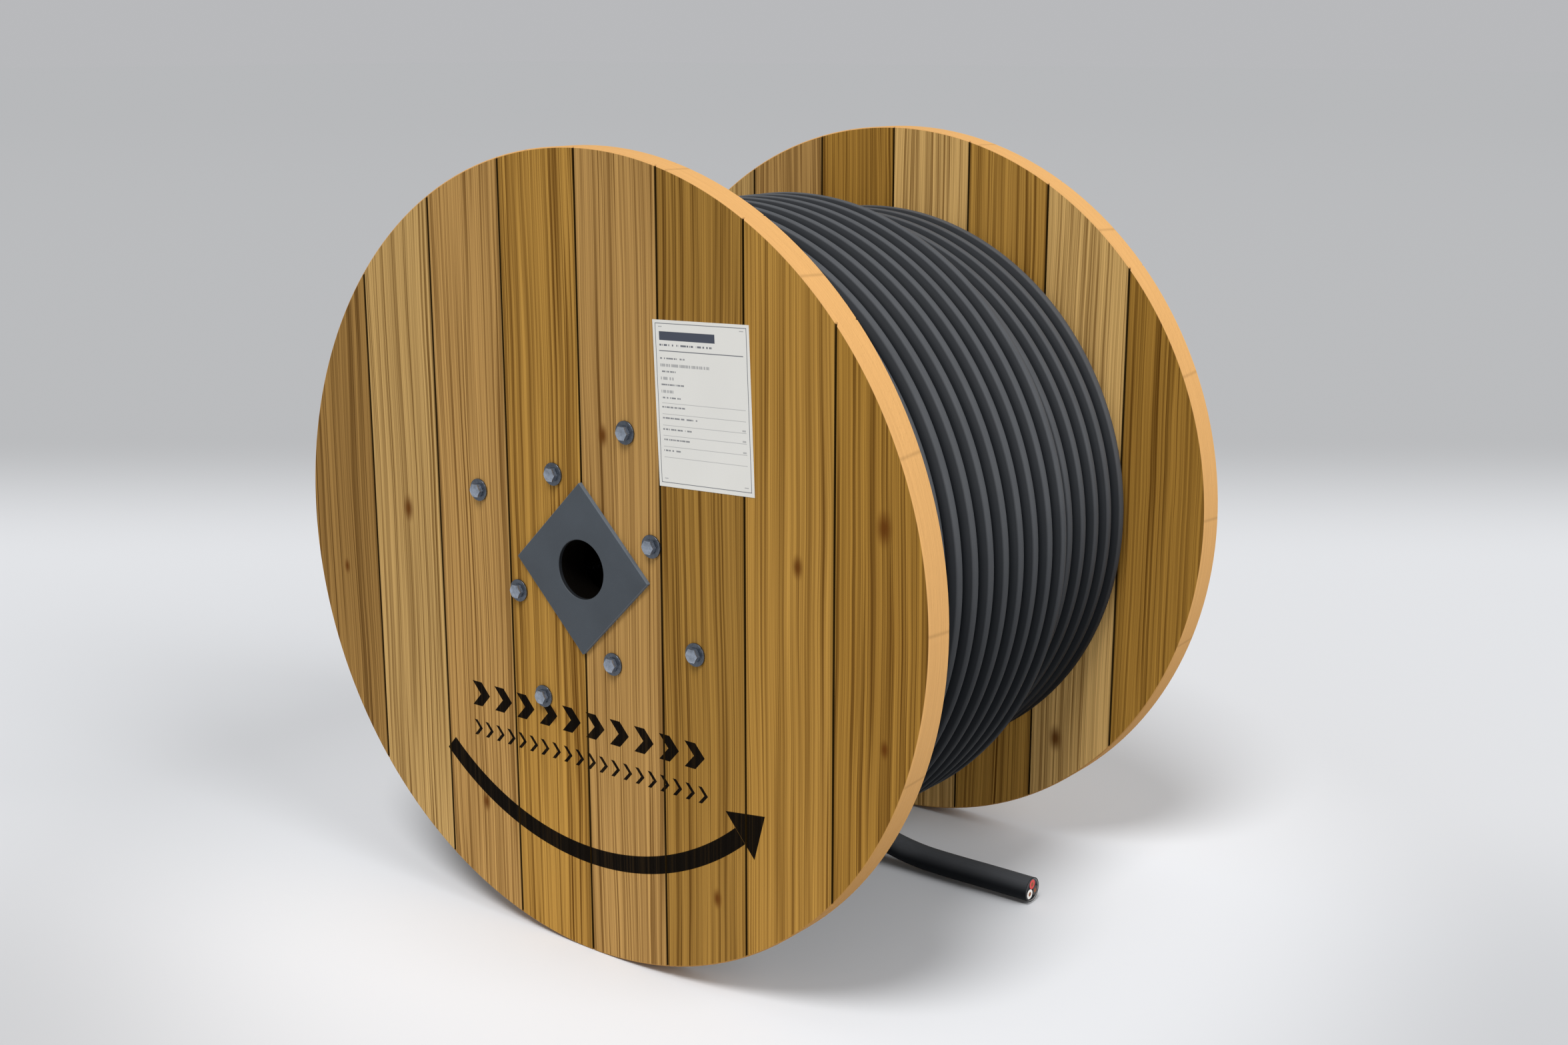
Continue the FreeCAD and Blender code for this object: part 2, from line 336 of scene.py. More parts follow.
def skin(name, rings, wrapped=False, lengths=None):
    """Closed surface over a grid of points: rings[i, j] is point j of ring i.

    Each ring closes on itself. A wrapped surface joins its last ring to its first, as on a
    washer; any other ends in a fan from each end ring to that ring's middle. With lengths, the
    surface gets a UV map: along is the ring's length, and round is the share of the ring.
    """
    ring_count, side_count = rings.shape[:2]
    vertices = rings.reshape(-1, 3)
    row = np.arange(ring_count if wrapped else ring_count - 1)
    side = np.arange(side_count)
    first, start = np.meshgrid(row, side, indexing="ij")
    after = (first + 1) % ring_count
    end = (start + 1) % side_count
    near, far = first * side_count, after * side_count
    faces = np.stack((near + start, near + end, far + end, far + start), axis=-1).reshape(-1, 4)
    fans = []
    if not wrapped:
        middle = np.full(side_count, len(vertices))
        vertices = np.concatenate([vertices, rings[[0, -1]].mean(axis=1)])
        last_row = (ring_count - 1) * side_count
        next_side = (side + 1) % side_count
        fans.append(np.stack([next_side, side, middle], axis=-1))
        fans.append(np.stack([last_row + side, last_row + next_side, middle + 1], axis=-1))
    closing = [np.concatenate([fan, fan[:, -1:]], axis=1) for fan in fans]
    outward = signed_volume(vertices, np.concatenate([faces, *closing])) > 0
    order = slice(None) if outward else slice(None, None, -1)
    mesh = bpy.data.meshes.new(name)
    corners = faces[:, order].tolist() + [face for fan in fans for face in fan[:, order].tolist()]
    mesh.from_pydata(vertices, [], corners)
    if lengths is not None:
        along = np.stack([lengths[first], lengths[first], lengths[first + 1], lengths[first + 1]], axis=-1)
        about = np.stack([start, start + 1, start + 1, start], axis=-1) / side_count
        grid = np.stack([along, about], axis=-1).reshape(-1, 4, 2)[:, order]
        ends = np.zeros((sum(fan.size for fan in fans), 2))
        layer = mesh.uv_layers.new(name="along_and_round")
        layer.data.foreach_set("uv", np.concatenate([grid.reshape(-1, 2), ends]).ravel())
    mesh.shade_smooth()
    mesh.set_sharp_from_angle(angle=math.radians(32))
    made = bpy.data.objects.new(name, mesh)
    bpy.context.scene.collection.objects.link(made)
    return made


def turned(radii, depths, centre=(0.0, 0.0), sides=72):
    """Rings about an axis along Y: the point at ring i and angle a is radius i from the axis and
    at depth i. Radii and depths are one number a ring, or one a ring and angle."""
    angles = np.linspace(0, 2 * np.pi, sides, endpoint=False)
    radii = np.broadcast_to(np.array([np.broadcast_to(r, sides) for r in radii], float), (len(radii), sides))
    depths = np.array([np.broadcast_to(d, sides) for d in depths], float)
    return np.stack([centre[0] + radii * np.cos(angles), depths, centre[1] + radii * np.sin(angles)], axis=-1)


def finish_piece(piece, finish, slot, *nodes):
    """Give a new piece its material, its body and the nodes it stands for; the slot is not used."""
    piece.data.materials.append(finish.material)
    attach(piece, "root")
    if nodes:
        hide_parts(*nodes)
    return piece


def dress_node(name, finish):
    """Give a construction piece a better material."""
    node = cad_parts[name]
    for material_slot in node.material_slots:
        material_slot.material = finish.material
    if not node.material_slots:
        node.data.materials.append(finish.material)


# ---- camera ----

CAMERA_PLACE = (1.8987, -2.3704, 1.3459)
CAMERA_TILT = math.radians(76.0)
CAMERA_TURN = math.radians(37.99)
CAMERA_LENS = 44.74


class DRUM_OT_set_camera(bpy.types.Operator):
    """Set up the camera, to the right of the labelled flange"""

    bl_idname = "drum.set_camera"
    bl_label = "Set Camera"

    def execute(self, context):
        camera = bpy.data.objects.new("drum_camera", bpy.data.cameras.new("drum_camera"))
        camera.location = CAMERA_PLACE
        camera.rotation_euler = (CAMERA_TILT, 0.0, CAMERA_TURN)
        camera.data.lens = CAMERA_LENS
        camera.data.sensor_width = 36.0
        context.scene.collection.objects.link(camera)
        context.scene.camera = camera
        return {"FINISHED"}


# ---- cable ----

# control points of the free end, from the winding to its cut face
TAIL_ROUTE = [
    (-0.1667, 0.1143, 0.1419),
    (-0.0915, 0.1143, 0.1145),
    (-0.0100, 0.1180, 0.0865),
    (0.0680, 0.1255, 0.0625),
    (0.1420, 0.1340, 0.0420),
    (0.2160, 0.1400, 0.0240),
    (0.2900, 0.1386, 0.0240),
    (0.3650, 0.1415, 0.0240),
    (0.4394, 0.1419, 0.0240),
]
# the free end's line for the painted highlight along its upper side: level beyond this x, and rising towards
# -X
TAIL_RISE_START = 0.20
TAIL_SLOPE = 0.31
LIP_SHARE = 0.86
LIP_PROUD = 0.6 * MM
LIP_BEVEL = 0.3 * MM
# painted highlight on the inner rim of the sheath's cut edge
CUT_EDGE_HIGHLIGHT = (0.42, 0.40, 0.38)

TURN = 2 * np.pi
LAYERS_UNDER = 4
LAYER_ABOVE = LAYERS_UNDER + 1
EXIT_TURNS = 12
EXIT_ANGLE = math.radians(250.0)
FAR_START = math.radians(-103.4)
FAR_CLIMB = math.radians(250.0)
NEAR_LEAD_TURNS = 1.0
FAR_LEAD_TURNS = 0.5
LOWER_CONTACT = math.radians(222.2)
HIDDEN_END_DEPTH = 0.060
FLANGE_CLEARANCE = 0.2 * MM
LAYER_GAP = 0.5 * MM
CLIMB_SMOOTHING = 13


def rubber(name, cable_part):
    """Satin rubber with fine drawing lines along the cable and faint scuffs. Wound turns get a
    painted highlight on their crests and far flanks, fading towards the bottom as painted
    shade, and painted shade in the grooves between them. The free end gets a painted highlight
    along its upper side: its line stays level, then rises evenly towards -X."""
    cable = bpy.context.scene.drum_cable
    finish = Finish(name, specular=0.03)
    x, y, z = finish.parts()
    if cable_part == "wound":
        along, about, _ = finish.parts("UV")
        drawn = finish.join(along * 3.0, about * 95.0, 0.0)
        patchy = finish.join(along * 14.0, about * 4.0, 5.0)
        # painted highlight on each turn's crest and far (+Y) flank, fading to painted shade towards the
        # bottom of the drum
        lit_flank = about.rise(0.285, 0.425) * 0.30 + about.rise(0.425, 0.462) * 0.70
        highlight_by_height = z.rise(AXLE_HEIGHT - 0.28, AXLE_HEIGHT + 0.18) * 0.88 + 0.12
        # painted shade where neighbouring turns meet
        groove_shade = abs(about - 0.5).rise(0.195, 0.225)
        highlit = lit_flank * highlight_by_height
    else:
        drawn = finish.join(x * 3.0, y * 700.0, z * 700.0)
        patchy = finish.join(x * 14.0, y * 30.0, z * 30.0)
        groove_shade = x * 0.0
        # the inner layers get an even share of the painted highlight colour
        highlit = groove_shade + 0.36
        if cable_part == "free end":
            # painted highlight along the free end's upper side, above a line that stays level and then rises
            # towards -X
            line_height = (TAIL_RISE_START - x).maximum(0.0) * TAIL_SLOPE + TAIL_ROUTE[-1][2]
            upper = (z - line_height) / (cable.diameter / 2)
            highlit = upper.rise(-0.10, 0.90) * 0.86 + 0.10
    lines = finish.noise(drawn, 2.0, 0.6)
    patches = finish.noise(patchy, 4.0, 0.6)
    worn = 0.84 + lines * 0.10 + patches * 0.12
    # sheath mixed towards its painted highlight colour
    colour = finish.mix(highlit * worn, cable.sheath, cable.highlit)
    # painted shade in the grooves between the wound turns
    colour = finish.mix(groove_shade * 0.9, colour, scaled(cable.sheath, 0.3))
    finish.feed(colour=colour, roughness=0.40 + patches * 0.08 + lines * 0.04 + groove_shade * 0.3)
    finish.bump(lines, 0.00012, 0.6)
    return finish


def cable_tube(name, angles, radii, depths):
    """Tube along a winding line. The line's point at angle a is radius(a) from the axle and at
    depth(a); the section is a circle in the plane square to the line's own direction."""
    cable = bpy.context.scene.drum_cable
    outward = np.stack([np.cos(angles), np.zeros_like(angles), np.sin(angles)], axis=-1)
    line = outward * radii[:, None]
    line[:, 1] = depths
    line[:, 2] += AXLE_HEIGHT
    lengths = np.concatenate([[0.0], np.cumsum(np.linalg.norm(np.diff(line, axis=0), axis=1))])
    direction = np.gradient(line, axis=0)
    direction /= np.linalg.norm(direction, axis=1, keepdims=True)
    sideways = np.cross(direction, outward)
    sideways /= np.linalg.norm(sideways, axis=1, keepdims=True)
    upright = np.cross(sideways, direction)
    about = np.pi + np.linspace(0, 2 * np.pi, cable.sides, endpoint=False)[None, :, None]
    across = upright[:, None, :] * np.cos(about) + sideways[:, None, :] * np.sin(about)
    return skin(name, line[:, None, :] + across * (cable.diameter / 2), lengths=lengths)


def climb(below, above, gap, diameter):
    """Radius of a turn that climbs a layer beside the flange. It rests against the turn after
    it, so it is the square root of diameter squared less gap squared under that turn, where gap
    is how far that turn has moved away; a running mean rounds it off."""
    reach = np.sqrt(np.maximum(0.0, diameter**2 - np.clip(gap, 0.0, diameter) ** 2))
    padded = np.pad(np.maximum(below, above - reach), CLIMB_SMOOTHING // 2, mode="edge")
    return np.convolve(padded, np.full(CLIMB_SMOOTHING, 1 / CLIMB_SMOOTHING), mode="valid")


def turn_angles(start, end):
    """Angles along a winding line, evenly spaced."""
    steps = (end - start) / TURN * bpy.context.scene.drum_cable.steps
    return np.linspace(start, end, int(round(steps)) + 1)


def layer_radius(layer):
    """Radius of a layer's turns at their centres, counted up from the barrel."""
    cable = bpy.context.scene.drum_cable
    return BARREL_RADIUS + cable.diameter / 2 + layer * cable.layer_rise


def near_turns_line():
    """Angles, radii and depths of the turns on the labelled side: the end of the lower layer,
    the climb beside the flange, and the top layer as far as the exit. The depth is the largest
    of the flange's limit and the two layers' straight lines."""
    cable = bpy.context.scene.drum_cable
    limit = FRONT_INNER + cable.diameter / 2 + FLANGE_CLEARANCE
    end = EXIT_ANGLE + EXIT_TURNS * TURN
    angles = turn_angles(LOWER_CONTACT - NEAR_LEAD_TURNS * TURN, end)
    lower = limit + cable.pitch * (LOWER_CONTACT - angles) / TURN
    upper = cable.exit_depth - cable.pitch * (end - angles) / TURN
    depths = np.maximum(limit, np.maximum(lower, upper))
    gap = upper + cable.pitch - limit
    radii = climb(layer_radius(LAYERS_UNDER), layer_radius(LAYER_ABOVE), gap, cable.diameter)
    return angles, radii, depths


def far_turns_line():
    """Angles, radii and depths of the turns on the far side: the end of the layer beneath, its
    climb beside the far flange, and the lower layer until the top layer hides it."""
    cable = bpy.context.scene.drum_cable
    limit = BACK_INNER - cable.diameter / 2 - FLANGE_CLEARANCE
    beneath_contact = FAR_START - FAR_CLIMB
    end = FAR_START + (limit - HIDDEN_END_DEPTH) / cable.pitch * TURN
    angles = turn_angles(beneath_contact - FAR_LEAD_TURNS * TURN, end)
    beneath = limit - cable.pitch * (beneath_contact - angles) / TURN
    lower = limit - cable.pitch * (angles - FAR_START) / TURN
    depths = np.minimum(limit, np.minimum(beneath, lower))
    gap = limit - (lower - cable.pitch)
    radii = climb(layer_radius(LAYERS_UNDER - 1), layer_radius(LAYERS_UNDER), gap, cable.diameter)
    return angles, radii, depths


def inner_layers_rings():
    """Rings of the layers underneath: their two ends bulge where each layer's last turn is, as
    a half circle about that layer's radius, and a step fills the space under the top layer."""
    cable = bpy.context.scene.drum_cable
    cable_radius = cable.diameter / 2
    top = layer_radius(LAYERS_UNDER) - cable_radius + LAYER_GAP
    step_top = layer_radius(LAYER_ABOVE) - cable_radius - LAYER_GAP
    radii = np.linspace(BARREL_RADIUS + 0.1 * MM, top, 57)
    layer = np.round((radii - layer_radius(0)) / cable.layer_rise)
    off_centre = np.abs(radii - layer_radius(layer))
    bulge = np.sqrt(np.maximum(0.0, cable_radius**2 - np.minimum(off_centre, cable_radius) ** 2))
    near_end = FRONT_INNER + cable_radius - bulge + LAYER_GAP
    far_end = BACK_INNER - cable_radius + bulge - LAYER_GAP
    step_near = FRONT_INNER + cable.pitch + cable.diameter
    step_far = HIDDEN_END_DEPTH - cable_radius
    all_radii = np.concatenate([radii, [top, step_top, step_top, top], radii[::-1]])
    all_depths = np.concatenate([near_end, [step_near, step_near, step_far, step_far], far_end[::-1]])
    return turned(all_radii, all_depths, (0.0, AXLE_HEIGHT), 192)


class DRUM_OT_lay_free_end(bpy.types.Operator):
    """Lay the cable's free end from the winding down to the floor"""

    bl_idname = "drum.lay_free_end"
    bl_label = "Lay Free End"

    def execute(self, context):
        cable = context.scene.drum_cable
        curve = bpy.data.curves.new("free_end", "CURVE")
        curve.dimensions = "3D"
        curve.resolution_u = 24
        curve.bevel_depth = cable.diameter / 2
        curve.bevel_resolution = 8
        curve.use_fill_caps = True
        spline = curve.splines.new("NURBS")
        spline.points.add(len(TAIL_ROUTE) - 1)
        for point, place in zip(spline.points, TAIL_ROUTE):
            point.co = (*place, 1.0)
        spline.order_u = 3
        spline.use_endpoint_u = True
        free_end = bpy.data.objects.new("free_end", curve)
        context.scene.collection.objects.link(free_end)
        finish_piece(free_end, rubber("free_end_rubber", "free end"), "cable_rubber", "cable_tail")

        lip = self.sheath_lip()
        return {"FINISHED"}

    def sheath_lip(self):
        """Cut edge of the sheath, as a shallow ring round the cores: a closed profile turned
        about the cable's own line and set at the cut face. Its inner rim gets a painted highlight."""
        cable = bpy.context.scene.drum_cable
        outer = cable.diameter / 2
        inner = LIP_SHARE * outer
        radii = np.array([outer, outer, outer - LIP_BEVEL, inner + 0.4 * MM, inner, inner])
        depths = LIP_PROUD - np.array([1.1 * MM, LIP_BEVEL, 0.0, 0.0, LIP_BEVEL, 1.1 * MM])
        ring = turned(radii, depths, sides=96)
        end = np.array(TAIL_ROUTE[-1])
        along = end - np.array(TAIL_ROUTE[-2])
        along /= np.linalg.norm(along)
        across = np.cross([0.0, 0.0, 1.0], along)
        upright = np.cross(along, across)
        rings = end + ring[..., 1:2] * along + ring[..., 0:1] * across + ring[..., 2:3] * upright
        lip = skin("sheath_lip", rings, wrapped=True)
        finish = Finish("cut_sheath", roughness=0.55)
        x, y, z = finish.parts()
        # painted highlight along the inner rim of the cut edge
        pale = from_middle(y - end[1], z - end[2]).below(inner + 0.55 * MM, 0.4 * MM) * 0.8
        dark = finish.tones(finish.cloud((x, y, z), 900.0), cable.sheath, 0.9, 2.0)
        finish.feed(colour=finish.mix(pale, dark, CUT_EDGE_HIGHLIGHT))
        return finish_piece(lip, finish, "cable_rubber")


class DRUM_OT_wind_cable(bpy.types.Operator):
    """Wind the cable on the barrel, turn by turn"""

    bl_idname = "drum.wind_cable"
    bl_label = "Wind Cable"

    def execute(self, context):
        finish = rubber("winding_rubber", "wound")
        for name, line in (("near_turns", near_turns_line()), ("far_turns", far_turns_line())):
            finish_piece(cable_tube(name, *line), finish, "cable_rubber", "cable_winding")
        layers = skin("inner_layers", inner_layers_rings(), wrapped=True)
        finish_piece(layers, rubber("inner_rubber", "hidden"), "cable_rubber", "cable_winding")
        return {"FINISHED"}


class DRUM_OT_dress_cores(bpy.types.Operator):
    """Give the cores at the cut end their insulation colours and copper strands"""

    bl_idname = "drum.dress_cores"
    bl_label = "Dress Cores"

    def execute(self, context):
        cable = context.scene.drum_cable
        for name in ("red", "white", "black"):
            finish = Finish("insulation_" + name, roughness=0.42)
            cloud = finish.cloud(finish.parts(), 300.0, 3.0, 0.6)
            finish.feed(colour=finish.tones(cloud, getattr(cable, name), 0.8, 1.1))
            finish.bump(cloud, 0.0001)
            dress_node("core_" + name, finish)
        dress_node("core_conductors", self.strands())
        return {"FINISHED"}

    def strands(self):
        """Copper wires seen on their ends: cells a little under a millimetre wide, with painted
        shade in the gaps between them."""
        cable = bpy.context.scene.drum_cable
        finish = Finish("copper_strands", metallic=0.55, roughness=0.42)
        x, y, z = finish.parts()
        cells = finish.node(
            "ShaderNodeTexVoronoi",
            {"feature": "DISTANCE_TO_EDGE", "voronoi_dimensions": "2D"},
            {"Vector": finish.join(y * 1100.0, z * 1100.0, 0.0), "Scale": 1.0, "Randomness": 0.55},
        )
        wire = cells.rise(0.02, 0.16)
        # painted shade in the gaps between the wires
        finish.feed(colour=finish.tones(wire, cable.copper, 0.12, 1.0))
        finish.bump(wire, 0.0002)
        return finish


# ---- timber ----

# tone and lightness of each board, from -X to +X
FRONT_BOARDS = (
    ("brown", 0.97), ("olive", 1.06), ("pink", 1.03), ("gold", 1.07),
    ("pink", 0.98), ("gold", 0.84), ("gold", 1.05), ("deep", 1.16),
)
# the back flange's boards are made lighter than the front's, as painted light against the shade that the near
# flange and winding cast on it
BACK_BOARDS = (
    ("brown", 1.4), ("olive", 1.12), ("pink", 1.06), ("deep", 1.34),
    ("olive", 1.54), ("gold", 1.20), ("olive", 1.42), ("deep", 1.22),
)

# knots, as (across, up) from the axle, and size
FRONT_KNOTS = [
    (-0.373, 0.035, 1.25), (-0.528, -0.084, 0.75), (0.044, 0.202, 1.0),
    (0.390, 0.068, 1.0), (0.528, 0.142, 1.4), (0.533, -0.154, 0.8),
    (-0.222, -0.414, 0.95), (-0.070, -0.238, 0.8), (0.247, -0.445, 0.9),
]
BACK_KNOTS = [
    (0.348, -0.404, 1.4), (-0.418, 0.190, 1.0), (-0.255, -0.352, 1.1), (-0.112, 0.405, 0.8),
    (-0.535, -0.060, 0.9), (0.022, -0.300, 1.0),
]
KNOT_HALF_WIDTH = 0.0100
KNOT_HALF_HEIGHT = 0.0185

# how much lighter or darker the grain is than its board's tone, in red, green and blue
PALE_GRAIN = (1.66, 1.72, 1.75)
DARK_GRAIN = (0.34, 0.25, 0.12)
# painted shade on the lower rim, as shares of the rim's tone
LOWER_RIM_SHADE = (0.42, 0.36, 0.20)

# saw and joint marks across the rim, in degrees about the axle
RIM_MARKS = (
    48.7, 23.2, 1.0, -19.2, -44.0, -68.5, -93.0, -117.5,
    -141.0, -163.5, 173.5, 150.0, 126.5, 99.0, 73.5,
)
RIM_DEPTH = 1.2 * MM
SEAM_HALF = 1.9 * MM
# painted shade on the bore's wall and inside the hollow barrel
BORE_SHADE = (0.0025, 0.0018, 0.0012)
EDGE_SOFTNESS = 0.8 * MM

# stencilled arrow: a band along a circle, and a head beyond its end
ARROW_INNER = 0.4315
ARROW_OUTER = 0.4585
ARROW_START = math.radians(-131.7)
ARROW_END = math.radians(-49.4)
HEAD_TIP = (0.4475, math.radians(-41.75))
HEAD_BASE = ((0.4045, ARROW_END), (0.4840, ARROW_END))

# two rows of stencilled chevrons: half length, middle height, half height, spacing, painted share
CHEVRON_ROWS = (
    (0.240, -0.2385, 0.0195, 0.0480, 0.42),
    (0.238, -0.2945, 0.0125, 0.0240, 0.28),
)


def polar_point(radius, angle):
    """Point at a radius and an angle about the axle."""
    return radius * math.cos(angle), radius * math.sin(angle)


def arrow_mask(across, up, radius, angle):
    """1 on the arrow: its band is a stretch of a ring, and its head is where a point is inside
    all three of a triangle's sides."""
    middle = (ARROW_INNER + ARROW_OUTER) / 2
    band = abs(radius - middle).below(ARROW_OUTER - middle, EDGE_SOFTNESS)
    half_sweep = (ARROW_END - ARROW_START) / 2
    stretch = abs(angle - (ARROW_START + half_sweep)).below(half_sweep, EDGE_SOFTNESS / middle)
    corners = [polar_point(*place) for place in (*HEAD_BASE, HEAD_TIP)]
    outside = []
    for here, there in zip(corners, corners[1:] + corners[:1]):
        length = math.dist(here, there)
        normal = ((there[1] - here[1]) / length, (here[0] - there[0]) / length)
        outside.append((across - here[0]) * normal[0] + (up - here[1]) * normal[1])
    return (band * stretch).maximum(largest(outside).below(0.0, EDGE_SOFTNESS))


def chevron_mask(across, up, row):
    """1 on a row of chevrons: a stripe pattern slanted with the distance from the row's middle."""
    half_length, middle, half_height, spacing, share = row
    off_middle = abs(up - middle)
    slanted = across + off_middle * 0.9
    stripe = (slanted / spacing + 40.0).fraction()
    painted = abs(stripe - 0.5).below(share / 2, EDGE_SOFTNESS / spacing)
    tall = off_middle.below(half_height, EDGE_SOFTNESS)
    return painted * (tall * abs(slanted).below(half_length, EDGE_SOFTNESS))


def knot_mask(across, up, knots):
    """1 at the middle of each knot, falling off along an upright ellipse."""
    masks = []
    for knot_across, knot_up, size in knots:
        offset_across = (across - knot_across) / (KNOT_HALF_WIDTH * size)
        offset_up = (up - knot_up) / (KNOT_HALF_HEIGHT * size)
        masks.append(1 - from_middle(offset_across, offset_up).rise(0.10, 1.20))
    return largest(masks)


def rim_mark_mask(angle, depth):
    """Soft thin marks across the rim, each a little slanted."""
    slants = (-0.10, 0.12)
    lines = [angle - math.radians(mark) - depth * slants[index % 2] for index, mark in enumerate(RIM_MARKS)]
    return largest([abs(line).below(0.0034, 0.0080) for line in lines])


def board_finish(name, tone, seed, knots, flange_middle, stencilled):
    """Softwood board: grain runs up the board as wide bands, dark lines and fine fibres that
    wander a little; the rim is sawn paler, with painted shade towards its bottom, the grooves
    are dark, and the bore gets painted shade."""
    timber = bpy.context.scene.drum_timber
    finish = Finish(name, specular=0.04)
    across, depth, up = finish.parts(moved=(0.0, -flange_middle, -AXLE_HEIGHT))
    radius = from_middle(across, up)
    angle = up.angle_from(across)

    drift = finish.noise(finish.join(across * 5.0, depth * 5.0, up * 1.6 + seed * 3.7), 1.0)
    ripple = finish.noise(finish.join(across * 20.0, depth * 20.0, up * 7.0 + seed * 1.3), 1.0)
    wandered = across + (drift - 0.5) * 0.0075 + (ripple - 0.5) * 0.0009

    def grain(width, stretch, offset, detail=1.0):
        """Noise of one width across the board, stretched up it."""
        place = finish.join(wandered / width + seed * offset, depth / width, up * stretch + offset)
        return finish.noise(place, detail, 0.5, 0.15)

    groups = grain(timber.band_width * 3.5, 0.7, 3.1)
    bands = grain(timber.band_width, 0.9, 7.7)
    lines = grain(timber.line_spacing, 1.1, 13.9)
    threads = grain(timber.line_spacing * 0.62, 1.7, 41.3)
    fibres = grain(timber.fibre_spacing, 2.4, 29.3)
    dark_lines = lines.rise(0.48, 0.80) * (0.6 + groups * 0.4)
    streak = dark_lines * 0.44 + threads * 0.34 + bands * 0.08 + fibres * 0.18

    colour = finish.tones(streak, tone, PALE_GRAIN, DARK_GRAIN)
    if knots:
        colour = finish.mix(knot_mask(across, up, knots) * 0.94, colour, timber.knot)

    seam_distance = abs((across / BOARD_WIDTH + 0.5 + BOARD_COUNT).fraction() - 0.5) * BOARD_WIDTH
    near_seam = seam_distance.below(4.5 * MM, 5.0 * MM)
    colour = finish.mix(near_seam * 0.20, colour, scaled(tone, 0.45))
    in_seam = seam_distance.below(SEAM_HALF, 0.9 * MM)
    colour = finish.mix(in_seam * 0.96, colour, timber.seam)
    # painted shade on the bore's wall
    colour = finish.mix(radius.below(BORE_RADIUS + 0.6 * MM, 0.4 * MM), colour, BORE_SHADE)

    rim = radius.rise(FLANGE_RADIUS - 2 * RIM_DEPTH, FLANGE_RADIUS - RIM_DEPTH)
    around = finish.join(angle * 4.0 + seed * 0.1, depth * 420.0, radius * 8.0)
    rim_streaks = finish.noise(around, 2.0, 0.6, 0.22)
    rim_colour = finish.tones(rim_streaks * 0.45, timber.rim, 1.10, 0.84)
    rim_colour = finish.mix(rim_mark_mask(angle, depth) * 0.34, rim_colour, scaled(timber.rim, 0.42))
    # painted shade: the rim darker towards its bottom
    rim_shade = 1 - up.rise(-0.42, -0.08)
    rim_colour = finish.mix(rim_shade * 0.55, rim_colour, scaled(timber.rim, LOWER_RIM_SHADE))
    colour = finish.mix(rim, colour, rim_colour)

    if stencilled:
        pale_lines = (1 - lines).rise(0.62, 0.98)
        on_face = depth.below(FRONT_FACE - flange_middle + 0.4 * MM, 0.2 * MM)
        chevrons = [chevron_mask(across, up, row) for row in CHEVRON_ROWS]
        paint = largest([arrow_mask(across, up, radius, angle), *chevrons])
        worn = 0.995 - pale_lines * 0.02
        colour = finish.mix(paint * on_face * worn, colour, timber.stencil)

    finish.feed(colour=colour, roughness=0.62 + dark_lines * 0.10 + rim * 0.08)
    finish.bump(1 - dark_lines * 0.8 - fibres * 0.2, 0.00035, 0.7)
    return finish


class DRUM_OT_dress_timber(bpy.types.Operator):
    """Give both flanges' boards and the barrel their timber finish"""

    bl_idname = "drum.dress_timber"
    bl_label = "Dress Timber"

    def execute(self, context):
        timber = context.scene.drum_timber
        flanges = (
            ("front", FRONT_BOARDS, FRONT_KNOTS, (FRONT_FACE + FRONT_INNER) / 2, 0.0),
            ("back", BACK_BOARDS, BACK_KNOTS, (BACK_INNER + BACK_FACE) / 2, 20.0),
        )
        for flange, boards, knots, middle, first_seed in flanges:
            for index in range(BOARD_COUNT):
                left = -FLANGE_RADIUS + index * BOARD_WIDTH
                own = [knot for knot in knots if left - 0.02 < knot[0] < left + BOARD_WIDTH + 0.02]
                tone_name, lightness = boards[index % len(boards)]
                tone = scaled(getattr(timber, tone_name), lightness)
                reaches_paint = left < ARROW_OUTER * 0.8 and left + BOARD_WIDTH > -ARROW_OUTER * 0.8
                name = f"{flange}_board_{index + 1}"
                stencilled = flange == "front" and reaches_paint
                finish = board_finish("wood_" + name, tone, first_seed + index + 1, own, middle, stencilled)
                dress_node(name, finish)
        self.dress_barrel()
        return {"FINISHED"}

    def dress_barrel(self):
        """Barrel of the same timber, with its grain along the axle, and painted shade inside it."""
        timber = bpy.context.scene.drum_timber
        finish = Finish("wood_barrel", roughness=0.62, specular=0.07)
        x, y, z = finish.parts()
        bands = finish.noise(finish.join(x * 110.0, y * 1.5, z * 110.0), 3.0, 0.6)
        # painted shade inside the hollow barrel
        inside = from_middle(x, z - AXLE_HEIGHT).below(BARREL_RADIUS - 5.0 * MM, 1.0 * MM)
        finish.feed(colour=finish.mix(inside, finish.tones(bands, timber.brown, 1.2, 0.6), BORE_SHADE))
        finish.bump(bands, 0.0004)
        dress_node("barrel", finish)


# ---- steel ----

# painted shade on the guard plates' bore wall
PLATE_BORE_SHADE = (0.010, 0.011, 0.013)
PLATE_CORNER = 1.5 * MM
PLATE_SIDES = 96
SHANK_RADIUS = 6.0 * MM
THREAD_LENGTH = 5.5 * MM
THREAD_RINGS = 40
THREAD_DEPTH = 0.75 * MM
NUT_HOLE = 6.1 * MM
WASHER_HOLE = 6.5 * MM
WASHER_ROUNDING = 0.7 * MM
HEX_SIDES = 72
HEAD_CHAMFER = math.tan(math.radians(28.0))


